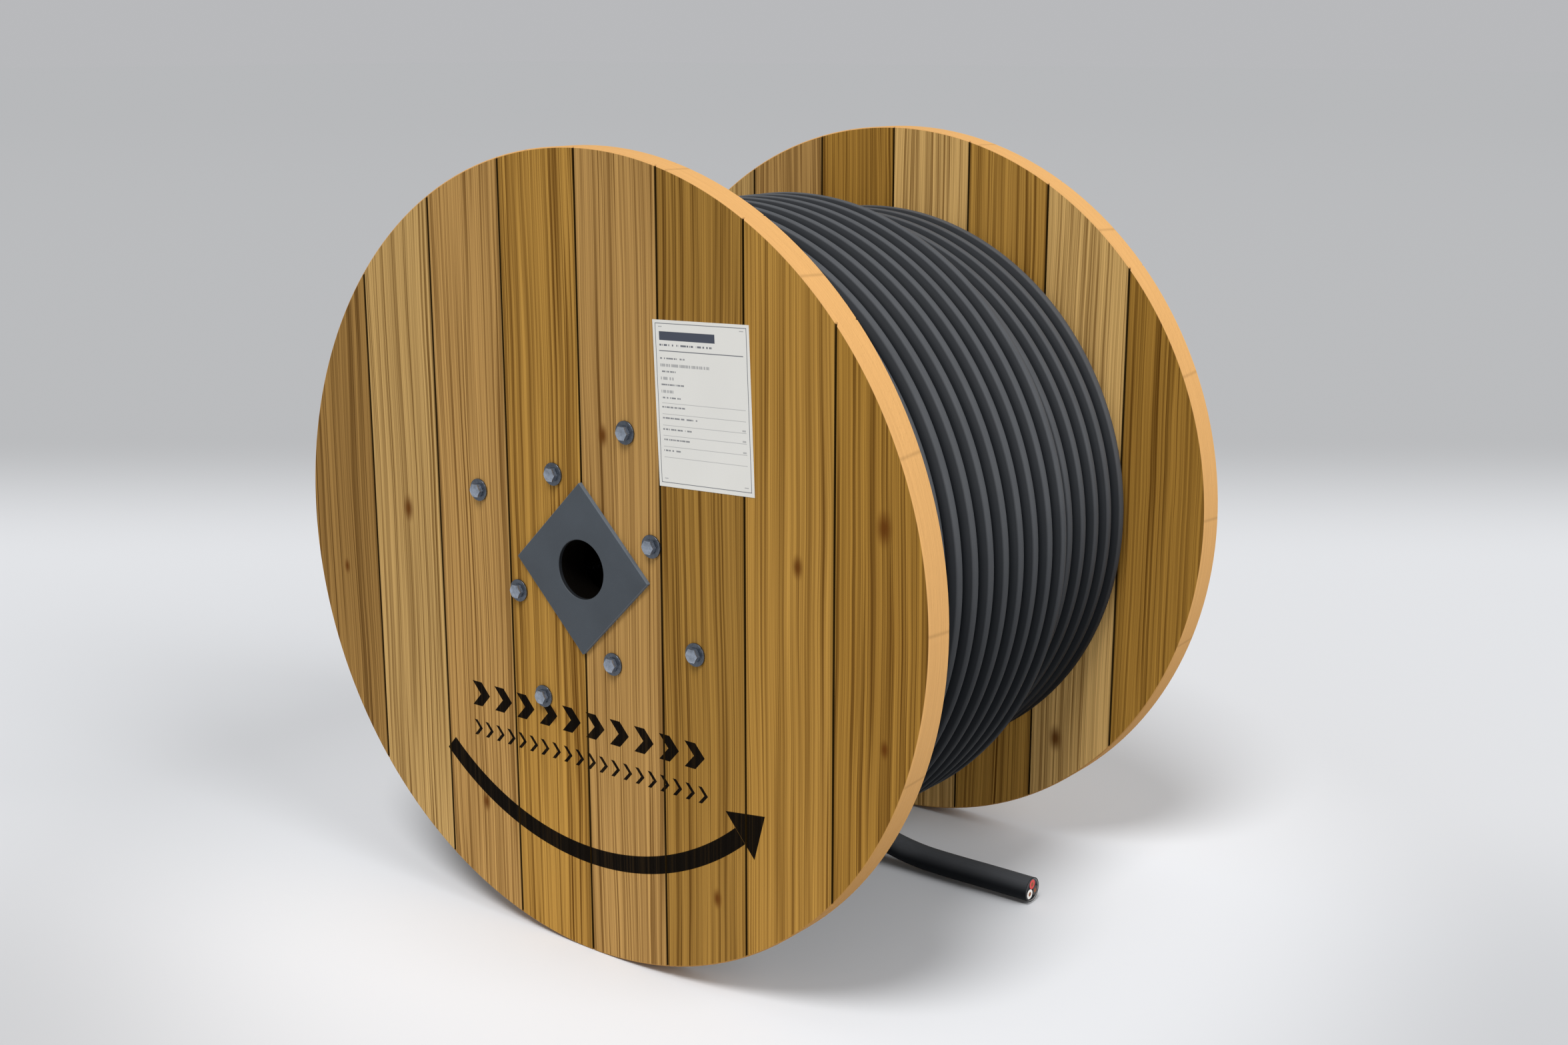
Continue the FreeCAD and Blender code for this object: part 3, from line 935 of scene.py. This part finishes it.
def painted_plate_finish():
    """Slate paint with a faint cloud and fine pitting, a painted highlight along the outer edge, and painted
    shade in the bore.
    """
    finish = Finish("slate_paint", specular=0.20)
    steel = bpy.context.scene.drum_steel
    x, y, z = finish.parts()
    cloud = finish.cloud((x, y, z), 16.0, 4.0, 0.6)
    grit = finish.cloud((x, y, z), 700.0)
    up = z - AXLE_HEIGHT
    colour = finish.tones(cloud * 0.6 + grit * 0.2, steel.plate, 0.90, 1.12)
    # painted highlight along the plate's outer edge
    edge = (abs(x) + abs(up)).rise(PLATE_HIGH.x - 1.6 * MM, PLATE_HIGH.x - 0.6 * MM)
    colour = finish.mix(edge * 0.9, colour, scaled(steel.plate, 1.9))
    # painted shade in the bore
    inside = from_middle(x, up).below(BORE_RADIUS + 0.4 * MM, 0.3 * MM)
    finish.feed(colour=finish.mix(inside * 0.9, colour, PLATE_BORE_SHADE), roughness=0.44 + cloud * 0.10)
    finish.bump(grit, 0.00006)
    return finish


def zinc_finish(name, lightness):
    """Passivated zinc: blue-grey metal with a soft cloud, lighter or darker by the lightness, which paints
    lit and shaded copies of one zinc.
    """
    finish = Finish(name, metallic=0.85)
    cloud = finish.cloud(finish.parts(), 180.0, 3.0, 0.6)
    colour = finish.tones(cloud, bpy.context.scene.drum_steel.zinc, 0.8 * lightness, 1.2 * lightness)
    finish.feed(colour=colour, roughness=0.20 + cloud * 0.12)
    finish.bump(cloud, 0.00005)
    return finish


def square_outline(half, corner, sides):
    """Points round a square set on its corner, with rounded corners: each is a corner's centre
    plus the corner's radius along its angle."""
    angles = (np.arange(sides) + 0.5) * 2 * np.pi / sides
    flat = np.stack([np.sign(np.cos(angles)), np.sign(np.sin(angles))], axis=-1) * (half - corner)
    flat += corner * np.stack([np.cos(angles), np.sin(angles)], axis=-1)
    turned_flat = np.stack([flat[:, 0] - flat[:, 1], flat[:, 0] + flat[:, 1]], axis=-1)
    return turned_flat * math.sqrt(0.5), angles + np.pi / 4


def plate_rings(outer_face, inner_face):
    """Rings of a guard plate, round its closed section: up its edge, over the bevel, across the
    outer face to the bore, and back through the bore."""
    bevel = bpy.context.scene.drum_steel.plate_bevel
    half = (PLATE_HIGH.x - PLATE_LOW.x) / 2 * math.sqrt(0.5)
    inward = bevel if inner_face > outer_face else -bevel
    outlines = []
    for inset in (0.0, 0.0, 0.3 * bevel, bevel):
        outline, angles = square_outline(half - inset, PLATE_CORNER, PLATE_SIDES)
        outlines.append(outline)
    circle = np.stack([np.cos(angles), np.sin(angles)], axis=-1)
    outlines += [(BORE_RADIUS + bevel) * circle, BORE_RADIUS * circle, BORE_RADIUS * circle]
    depths = [
        inner_face, outer_face + inward, outer_face + 0.3 * inward, outer_face,
        outer_face, outer_face + inward, inner_face,
    ]
    flat = np.array(outlines)
    deep = np.broadcast_to(np.array(depths)[:, None], flat.shape[:2])
    return np.stack([flat[..., 0], deep, flat[..., 1] + AXLE_HEIGHT], axis=-1)


class DRUM_OT_fit_plates(bpy.types.Operator):
    """Fit the square guard plate on each flange, round the bore"""

    bl_idname = "drum.fit_plates"
    bl_label = "Fit Guard Plates"

    def execute(self, context):
        finish = painted_plate_finish()
        back_low, back_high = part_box("back_plate")
        faces = {"front": (PLATE_LOW.y, PLATE_HIGH.y), "back": (back_high.y, back_low.y)}
        for side, (outer_face, inner_face) in faces.items():
            plate = skin(side + "_guard_plate", plate_rings(outer_face, inner_face), wrapped=True)
            finish_piece(plate, finish, "plate_paint", side + "_plate")
        return {"FINISHED"}


def hexagon_radius(flats):
    """Radius of a hexagon with flats at its top and bottom, at each of the sides' angles: half
    the flats' distance over the cosine of the angle from the nearest flat's middle."""
    angles = np.linspace(0, 2 * np.pi, HEX_SIDES, endpoint=False)
    return flats / 2 / np.cos((angles % (np.pi / 3)) - np.pi / 6)


def chamfered_end(flats, face, toward):
    """Radii and depths of a hexagon's end: a flat round face, then a cone down to the corners."""
    hexagon = hexagon_radius(flats)
    flat_radius = flats / 2 * 0.95
    return [flat_radius, hexagon], [face, face + toward * (hexagon - flat_radius) * HEAD_CHAMFER]


class DRUM_OT_fit_bolts(bpy.types.Operator):
    """Fit the through bolts with their washers and nuts"""

    bl_idname = "drum.fit_bolts"
    bl_label = "Fit Bolts"

    def execute(self, context):
        # painted light: a lighter copy of the zinc for bolts and nuts as painted highlight, and a darker one
        # for washers as painted shade
        bolt_finish = zinc_finish("zinc_bolt", 1.65)
        washer_finish = zinc_finish("zinc_washer", 0.56)
        for index in range(1, BOLT_COUNT + 1):
            low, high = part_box(f"bolt_{index}")
            centre = ((low.x + high.x) / 2, (low.z + high.z) / 2)
            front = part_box(f"front_washer_{index}")
            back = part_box(f"back_washer_{index}")
            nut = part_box(f"nut_{index}")
            bolt = skin(f"hex_bolt_{index}", self.bolt_rings(centre, low, high, front[0].y))
            finish_piece(bolt, bolt_finish, "zinc_steel", f"bolt_{index}")
            nut_piece = skin(f"hex_nut_{index}", self.nut_rings(centre, *nut), wrapped=True)
            finish_piece(nut_piece, bolt_finish, "zinc_steel", f"nut_{index}")
            for side, (washer_low, washer_high) in (("front", front), ("back", back)):
                rings = self.washer_rings(centre, washer_low, washer_high)
                washer = skin(f"{side}_flat_washer_{index}", rings, wrapped=True)
                finish_piece(washer, washer_finish, "zinc_steel", f"{side}_washer_{index}")
        return {"FINISHED"}

    def bolt_rings(self, centre, low, high, seat):
        """Hexagonal head with a chamfer, a plain shank, and a thread at its end whose radius
        rises and falls with depth over pitch plus angle over a turn."""
        flats = high.z - low.z
        thread_start = high.y - THREAD_LENGTH
        radii, depths = chamfered_end(flats, low.y, 1.0)
        radii += [hexagon_radius(flats), SHANK_RADIUS, SHANK_RADIUS]
        depths += [seat - 0.3 * MM, seat, thread_start]
        turn = np.linspace(0, 1, HEX_SIDES, endpoint=False)
        along = thread_start + np.arange(1, THREAD_RINGS + 1) * 5.0 * MM / THREAD_RINGS
        phase = (along[:, None] / bpy.context.scene.drum_steel.thread_pitch + turn) % 1.0
        radii += [*(SHANK_RADIUS - THREAD_DEPTH * (1 - np.abs(2 * phase - 1))), SHANK_RADIUS - 1.1 * MM]
        depths += [*along, high.y]
        return turned(radii, depths, centre, HEX_SIDES)

    def nut_rings(self, centre, low, high):
        """Hexagonal nut with both ends chamfered, and its threaded hole."""
        flats = high.z - low.z
        bevel = 0.5 * MM
        front_radii, front_depths = chamfered_end(flats, low.y, 1.0)
        back_radii, back_depths = chamfered_end(flats, high.y, -1.0)
        radii = [NUT_HOLE, NUT_HOLE + bevel, *front_radii, *back_radii[::-1], NUT_HOLE + bevel, NUT_HOLE]
        depths = [low.y + bevel, low.y, *front_depths, *back_depths[::-1], high.y, high.y - bevel]
        return turned(radii, depths, centre, HEX_SIDES)

    def washer_rings(self, centre, low, high):
        """Flat washer with its outer edges rounded as quarter circles."""
        bevel = 0.2 * MM
        turn = np.linspace(0, np.pi / 2, 5)
        rise = WASHER_ROUNDING * (1 - np.cos(turn))
        rim = (high.x - low.x) / 2 - WASHER_ROUNDING * (1 - np.sin(turn))
        radii = [WASHER_HOLE, WASHER_HOLE + bevel, *rim, *rim[::-1], WASHER_HOLE + bevel, WASHER_HOLE]
        depths = [low.y + bevel, low.y, *(low.y + rise), *(high.y - rise[::-1]), high.y, high.y - bevel]
        return turned(radii, depths, centre, 64)


# ---- label ----

# printed blocks, in millimetres: left, right and top, bottom from the label's top left corner
HEADING = (11.0, 109.0, 15.5, 27.5)
SMALL_HEADING = (11.0, 104.0, 32.6, 35.2)
HEAVY_RULE = (10.0, 157.0, 41.3, 42.5)
TEXT_ROWS = (
    (11.0, 55.0, 51.0, 53.2), (11.0, 98.0, 59.5, 63.5),
    (11.0, 38.0, 69.0, 71.2), (11.0, 34.0, 77.5, 81.5),
    (11.0, 52.0, 87.0, 89.2), (11.0, 33.0, 95.5, 99.5),
    (11.0, 45.0, 105.0, 107.2),
)
RULE_HEIGHTS = (113.5, 128.6, 144.2, 158.5, 173.6, 188.5)
ROW_LABEL_LENGTHS = (41.0, 62.0, 54.0, 47.0, 30.0)
CORNER_MARKS = (
    (10.0, 16.5, 8.4, 9.6), (151.5, 158.5, 8.4, 9.6),
    (10.0, 16.5, 217.6, 218.8), (151.5, 158.5, 217.6, 218.8),
)
SIDE_MARGIN = 11.0


class DRUM_OT_paste_label(bpy.types.Operator):
    """Print the paper label with plain bars and rules"""

    bl_idname = "drum.paste_label"
    bl_label = "Paste Label"

    def execute(self, context):
        settings = context.scene.drum_label
        low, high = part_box("label")
        centre_x, centre_z = (low.x + high.x) / 2, (low.z + high.z) / 2
        spread_x, spread_z = (high.x - low.x), (high.z - low.z)
        cosine, sine = math.cos(settings.turn), math.sin(settings.turn)
        wide = (spread_x * cosine - spread_z * sine) / (cosine**2 - sine**2) / MM
        tall = (spread_z * cosine - spread_x * sine) / (cosine**2 - sine**2) / MM

        finish = Finish("printed_paper", specular=0.10)
        x, _, z = finish.parts()
        off_x, off_z = (x - centre_x) / MM, (z - centre_z) / MM
        left = off_x * cosine + off_z * sine + wide / 2
        down = tall / 2 - (off_z * cosine - off_x * sine)

        def block(box, soft=0.35):
            """1 inside a box given as left, right, top and bottom."""
            middle_x, middle_y = (box[0] + box[1]) / 2, (box[2] + box[3]) / 2
            beyond_x = abs(left - middle_x) - (box[1] - box[0]) / 2
            beyond_y = abs(down - middle_y) - (box[3] - box[2]) / 2
            return beyond_x.maximum(beyond_y).below(0.0, soft)

        def words(box, seed):
            """A block broken into uneven dashes."""
            breaks = finish.noise(finish.join(left * 0.42, seed * 5.3, 0.0), 0.0, spread=0.12)
            return block(box) * breaks.rise(0.12, 0.30)

        outer = block((4.2, wide - 4.2, 4.2, tall - 5.6), 0.3)
        inner = block((5.2, wide - 5.2, 5.2, tall - 6.6), 0.3)
        right = wide - SIDE_MARGIN
        faint = [words(SMALL_HEADING, 1.0)]
        faint += [words(box, row + 2.0) * (0.55 if row % 2 else 0.85) for row, box in enumerate(TEXT_ROWS)]
        for rule in RULE_HEIGHTS:
            faint.append(block((SIDE_MARGIN, right + 1.0, rule - 0.35, rule + 0.35)) * 0.55)
        for row, length in enumerate(ROW_LABEL_LENGTHS):
            top = RULE_HEIGHTS[row] + 4.4
            faint.append(words((SIDE_MARGIN, SIDE_MARGIN + length, top, top + 2.2), row + 20.0) * 0.85)
        for rule in RULE_HEIGHTS[2:5]:
            faint.append(block((right - 6.0, right, rule - 4.0, rule - 1.6)) * 0.5)
        faint += [block(mark) * 0.6 for mark in CORNER_MARKS]

        speckle = finish.noise(finish.join(x * 900.0, 0.0, z * 900.0), 3.0, 0.6)
        cloud = finish.noise(finish.join(x * 9.0, 0.0, z * 9.0), 3.0, 0.5)
        paper = finish.tones(speckle * 0.5 + cloud * 0.5, settings.paper, 0.97, 1.03)
        strong = [block(HEADING), block(HEAVY_RULE) * 0.9, (outer - inner) * 0.85]
        ink = largest([*strong, largest(faint) * 0.85])
        finish.feed(colour=finish.mix(ink * 0.95, paper, settings.ink), roughness=0.55 + speckle * 0.1)
        finish.bump(speckle, 0.00003)
        dress_node("label", finish)
        return {"FINISHED"}


# ---- stage ----

VIEW_DIRECTION = (-math.sin(CAMERA_TURN), math.cos(CAMERA_TURN))
FLOOR_HALF = 80.0
# where the floor round the drum starts and ends turning into the distance, down the view and
# on every side, and where the distance itself starts and ends darkening
VIEW_FADE = (1.9, 3.6)
ROUND_FADE = (4.0, 7.5)
DISTANCE_FADE = (5.0, 35.0)
# painted light round the drum, which lightens its cast shadows, and painted shade to its left and right
DRUM_LIGHT_PATCH = (0.60, 1.25)
SIDE_SHADE = (0.30, 1.00)
SIDE_SHADE_END = (-0.60, 0.30)
# direction from the drum and apparent width in degrees
SIDE_LAMP = ((0.82, -0.02, 0.57), 34.0)
TOP_LAMP = ((0.15, -0.50, 0.85), 20.0)


def add_sun(name, strength, towards, softness):
    """Lamp far away in one direction, whose apparent width is softness."""
    lamp = bpy.data.lights.new(name, "SUN")
    lamp.energy = strength
    lamp.angle = math.radians(softness)
    holder = bpy.data.objects.new(name, lamp)
    tilt = math.acos(towards[2] / math.hypot(*towards))
    holder.rotation_euler = (tilt, 0.0, math.atan2(towards[1], towards[0]) + math.pi / 2)
    bpy.context.scene.collection.objects.link(holder)


class DRUM_OT_set_stage(bpy.types.Operator):
    """Lay a pale floor with painted light round the drum and painted shade to its sides, and set two soft
    lamps and an even world
    """

    bl_idname = "drum.set_stage"
    bl_label = "Set Stage"

    def execute(self, context):
        stage = context.scene.drum_stage
        mesh = bpy.data.meshes.new("floor")
        corners = [(-1, -1), (1, -1), (1, 1), (-1, 1)]
        mesh.from_pydata([(x * FLOOR_HALF, y * FLOOR_HALF, 0.0) for x, y in corners], [], [(0, 1, 2, 3)])
        floor = bpy.data.objects.new("floor", mesh)
        context.scene.collection.objects.link(floor)
        finish = Finish("floor_paint", roughness=0.9, specular=0.0)
        x, y, _ = finish.parts()
        away = x * VIEW_DIRECTION[0] + y * VIEW_DIRECTION[1]
        aside = abs(y * VIEW_DIRECTION[0] - x * VIEW_DIRECTION[1])
        radius = from_middle(x, y)
        far = away.rise(*VIEW_FADE).maximum(radius.rise(*ROUND_FADE))
        # painted shade: the floor darker to the left and right, towards the camera
        side = aside.rise(*SIDE_SHADE) * (1 - away.rise(*SIDE_SHADE_END))
        colour = finish.tones(side, stage.floor, 1.0, 0.84)
        # painted light: the floor lighter round the drum, lightening its cast shadows
        colour = finish.mix(1 - radius.rise(*DRUM_LIGHT_PATCH), colour, scaled(stage.floor, 1.22))
        distance = finish.tones(radius.rise(*DISTANCE_FADE), stage.distance, 1.0, 0.965)
        finish.feed(colour=finish.mix(far, colour, distance))
        mesh.materials.append(finish.material)

        add_sun("side_lamp", stage.side_lamp, *SIDE_LAMP)
        add_sun("top_lamp", stage.top_lamp, *TOP_LAMP)
        self.light_world(context.scene, stage)
        context.scene.view_settings.view_transform = "Standard"
        return {"FINISHED"}

    def light_world(self, scene, stage):
        """Even world light, and a plain pale colour where a ray sees past the floor."""
        world = bpy.data.worlds.new("even_light")
        world.use_nodes = True
        tree = world.node_tree
        tree.nodes.clear()
        output = tree.nodes.new("ShaderNodeOutputWorld")
        light = tree.nodes.new("ShaderNodeBackground")
        light.inputs["Strength"].default_value = stage.world_strength
        seen = tree.nodes.new("ShaderNodeBackground")
        seen.inputs["Color"].default_value = opaque(stage.backdrop)
        path = tree.nodes.new("ShaderNodeLightPath")
        choice = tree.nodes.new("ShaderNodeMixShader")
        direct = path.outputs["Is Camera Ray"]
        for name in ("Is Glossy Ray", "Is Transmission Ray"):
            either = tree.nodes.new("ShaderNodeMath")
            either.operation = "MAXIMUM"
            tree.links.new(direct, either.inputs[0])
            tree.links.new(path.outputs[name], either.inputs[1])
            direct = either.outputs[0]
        tree.links.new(direct, choice.inputs[0])
        tree.links.new(light.outputs[0], choice.inputs[1])
        tree.links.new(seen.outputs[0], choice.inputs[2])
        tree.links.new(choice.outputs[0], output.inputs["Surface"])
        scene.world = world


# ---- panel and add-on ----

OPERATORS = (
    DRUM_OT_set_camera,
    DRUM_OT_lay_free_end,
    DRUM_OT_wind_cable,
    DRUM_OT_dress_cores,
    DRUM_OT_dress_timber,
    DRUM_OT_fit_plates,
    DRUM_OT_fit_bolts,
    DRUM_OT_paste_label,
    DRUM_OT_set_stage,
)


class DRUM_PT_panel(bpy.types.Panel):
    """Lists the drum's operators and settings"""

    bl_idname = "DRUM_PT_panel"
    bl_label = "Timber Cable Drum"
    bl_space_type = "VIEW_3D"
    bl_region_type = "UI"
    bl_category = "Cable Drum"

    def draw(self, context):
        for operator in OPERATORS:
            self.layout.operator(operator.bl_idname)
        for name, group in SETTINGS.items():
            box = self.layout.box()
            box.label(text=group.__doc__)
            for field in group.__annotations__:
                box.prop(getattr(context.scene, name), field)


CLASSES = (*SETTINGS.values(), *OPERATORS, DRUM_PT_panel)


def register():
    """Register the classes, and hang each group of settings on the scene."""
    for made in CLASSES:
        bpy.utils.register_class(made)
    for name, group in SETTINGS.items():
        setattr(bpy.types.Scene, name, PointerProperty(type=group))


def unregister():
    """Take the settings and the classes away again."""
    for name in SETTINGS:
        delattr(bpy.types.Scene, name)
    for made in reversed(CLASSES):
        bpy.utils.unregister_class(made)


def main():
    """Register the add-on and build the drum."""
    register()
    for operator in OPERATORS:
        group, name = operator.bl_idname.split(".")
        if getattr(getattr(bpy.ops, group), name)() != {"FINISHED"}:
            raise RuntimeError(operator.bl_label + " did not finish")


if __name__ == "__main__":
    main()
